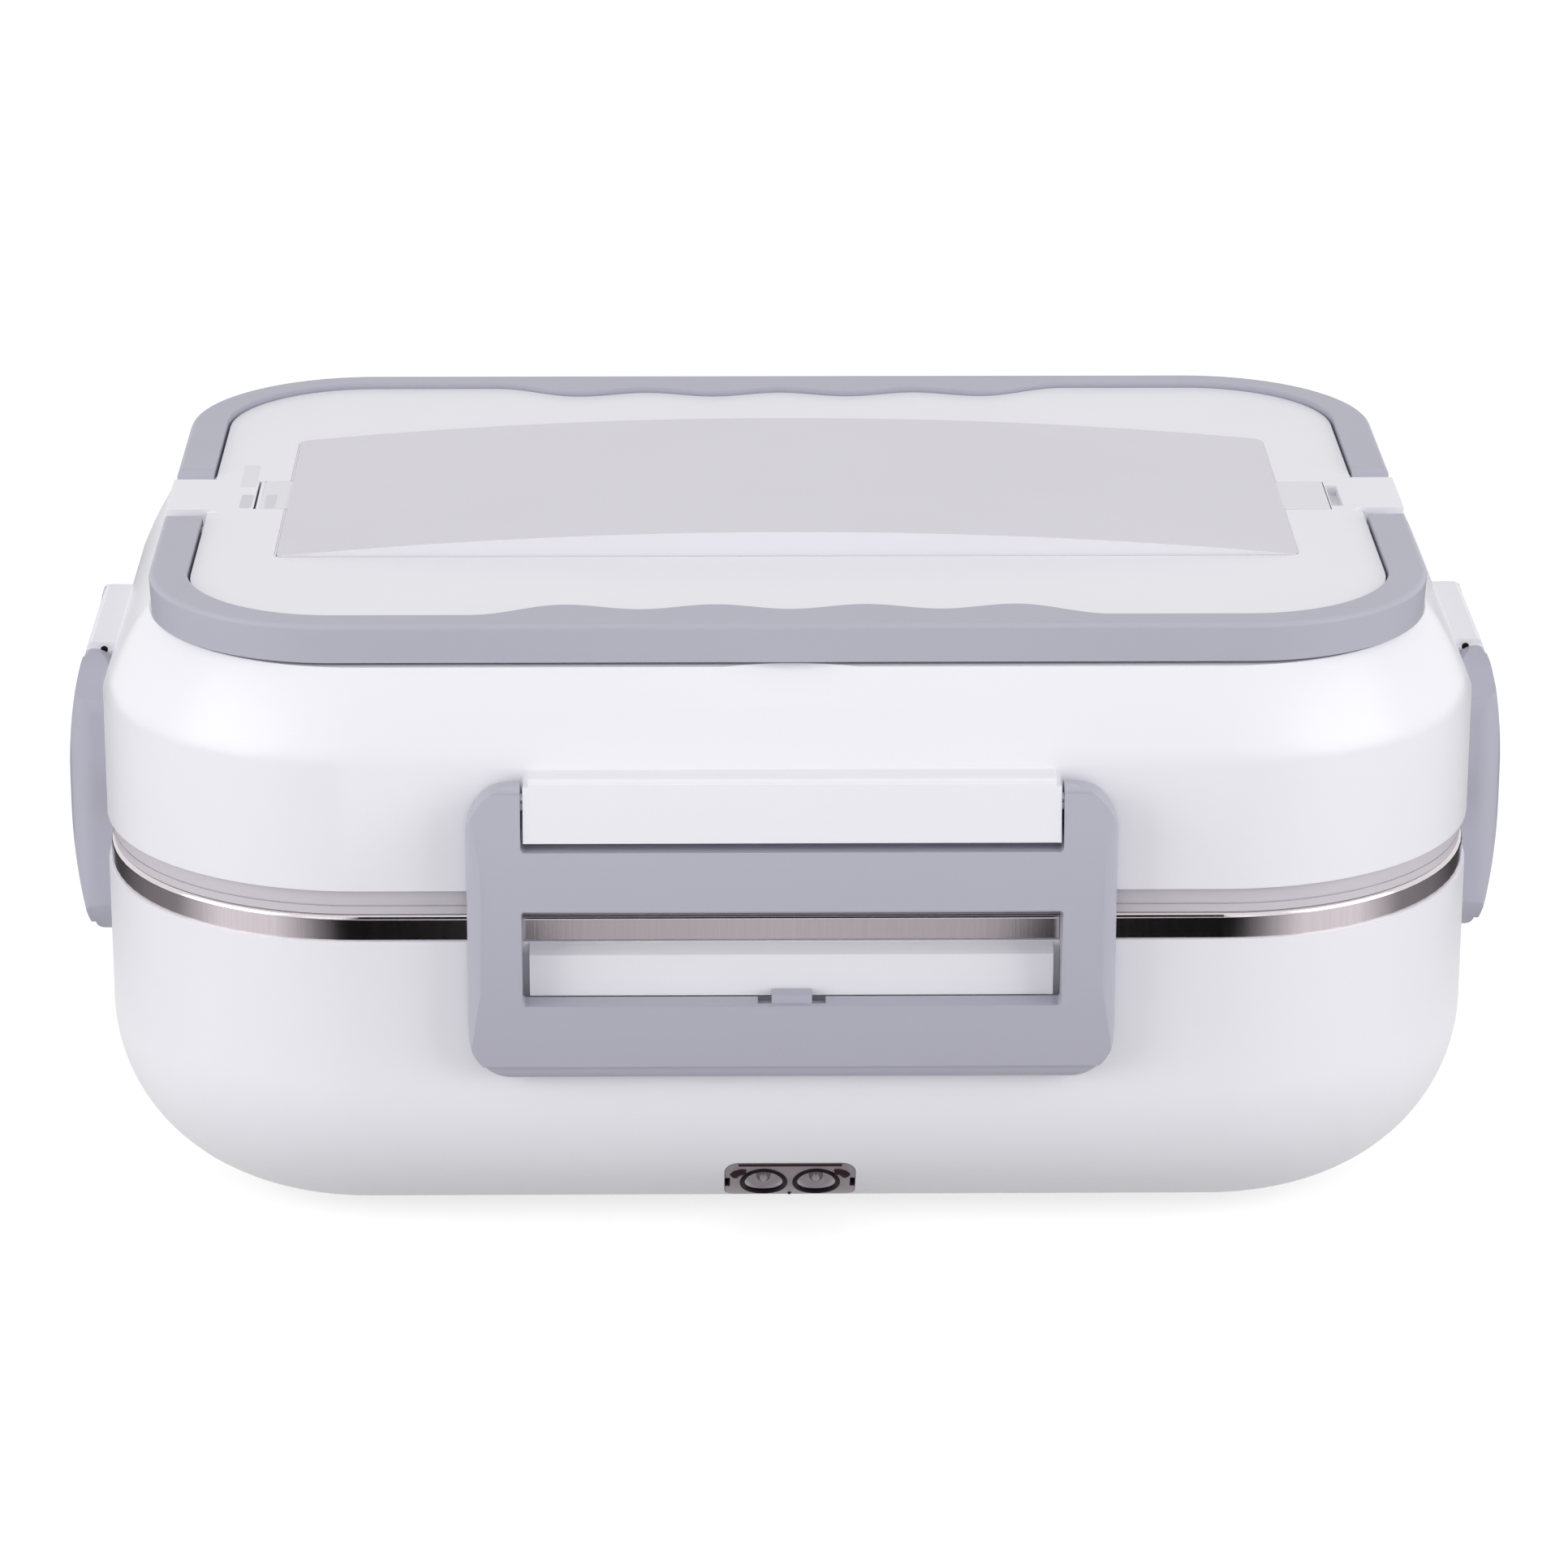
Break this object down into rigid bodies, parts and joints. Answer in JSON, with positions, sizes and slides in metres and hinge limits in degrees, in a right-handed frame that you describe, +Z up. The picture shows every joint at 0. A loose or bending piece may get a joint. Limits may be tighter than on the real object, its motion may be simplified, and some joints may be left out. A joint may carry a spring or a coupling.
{
  "type": "electric lunch box",
  "caption": "Portable electric lunch box: round-cornered tub with steel container and heater, lift-off latched lid, folding handle and a hinged cutlery cover.",
  "frame": {"origin": "under the middle of the box, on the surface it stands on", "axes": "+X to the right when facing the inlet, +Y to the rear, +Z up; the inlet faces -Y"},
  "size_m": [0.241, 0.1794, 0.1085],
  "materials": {
    "white_plastic": "satin moulded white",
    "inner_plastic": "matt moulded white",
    "grey_plastic": "fine matt cool grey",
    "frosted_plastic": "frosted, slightly see-through",
    "silicone": "translucent grey silicone",
    "container_steel": "brushed round the rim",
    "aluminium": "satin",
    "heater_metal": "plain",
    "mica": "plain sheet",
    "zinc_steel": "bright zinc",
    "contact_metal": "plain",
    "dark_plastic": "dark brown-grey moulded",
    "live_insulation": "red wire",
    "neutral_insulation": "blue wire",
    "rubber": "matt"
  },
  "bodies": {
    "base": {"base_shell": "white_plastic", "base_liner": "inner_plastic", "heating_plate": "aluminium", "plate_seal": "silicone", "ptc_heaters": "heater_metal", "insulation_sheet": "mica", "heater_clamp": "zinc_steel", "clamp_screws": "zinc_steel", "thermostat": "dark_plastic", "thermal_fuse": "zinc_steel", "fuse_clip": "zinc_steel", "inlet_housing": "dark_plastic", "inlet_pins": "contact_metal", "live_wire": "live_insulation", "fuse_wire": "live_insulation", "heater_lead": "live_insulation", "neutral_wire": "neutral_insulation", "case_screws": "zinc_steel", "rubber_feet": "rubber"},
    "container": {"food_container": "container_steel"},
    "lid": {"lid_shell": "white_plastic", "lid_liner": "inner_plastic", "lid_seal": "silicone", "cover_pin": "zinc_steel", "handle_pins": "zinc_steel", "latch_pins": "zinc_steel"},
    "front_latch": {"front_latch": "grey_plastic"},
    "rear_latch": {"rear_latch": "grey_plastic"},
    "left_latch": {"left_latch": "grey_plastic"},
    "right_latch": {"right_latch": "grey_plastic"},
    "front_handle": {"front_handle": "grey_plastic"},
    "rear_handle": {"rear_handle": "grey_plastic"},
    "cover": {"compartment_cover": "frosted_plastic"}
  },
  "joints": [
    {"name": "lid_lift", "type": "slide", "parent": "base", "child": "lid", "axis": [0, 0, 1], "range_m": [0, 0.15]},
    {"name": "container_lift", "type": "slide", "parent": "base", "child": "container", "axis": [0, 0, 1], "range_m": [0, 0.06]},
    {"name": "front_latch_turn", "type": "hinge", "parent": "lid", "child": "front_latch", "pos_m": [0, -0.0853, 0.0798], "axis": [-1, 0, 0], "range_deg": [0, 100]},
    {"name": "rear_latch_turn", "type": "hinge", "parent": "lid", "child": "rear_latch", "pos_m": [0, 0.0853, 0.0798], "axis": [1, 0, 0], "range_deg": [0, 100]},
    {"name": "left_latch_turn", "type": "hinge", "parent": "lid", "child": "left_latch", "pos_m": [-0.1161, 0, 0.0798], "axis": [0, 1, 0], "range_deg": [0, 100]},
    {"name": "right_latch_turn", "type": "hinge", "parent": "lid", "child": "right_latch", "pos_m": [0.1161, 0, 0.0798], "axis": [0, -1, 0], "range_deg": [0, 100]},
    {"name": "front_handle_turn", "type": "hinge", "parent": "lid", "child": "front_handle", "pos_m": [0, -0.0145, 0.10215], "axis": [1, 0, 0], "range_deg": [-100, 0]},
    {"name": "rear_handle_turn", "type": "hinge", "parent": "lid", "child": "rear_handle", "pos_m": [0, 0.0145, 0.10215], "axis": [-1, 0, 0], "range_deg": [-100, 0]},
    {"name": "cover_turn", "type": "hinge", "parent": "lid", "child": "cover", "pos_m": [-0.088, 0.0015, 0.103], "axis": [0, -1, 0], "range_deg": [0, 100]}
  ],
  "couplings": [
    {"joint": "container_lift", "follows": "lid_lift", "ratio": 0.4}
  ]
}
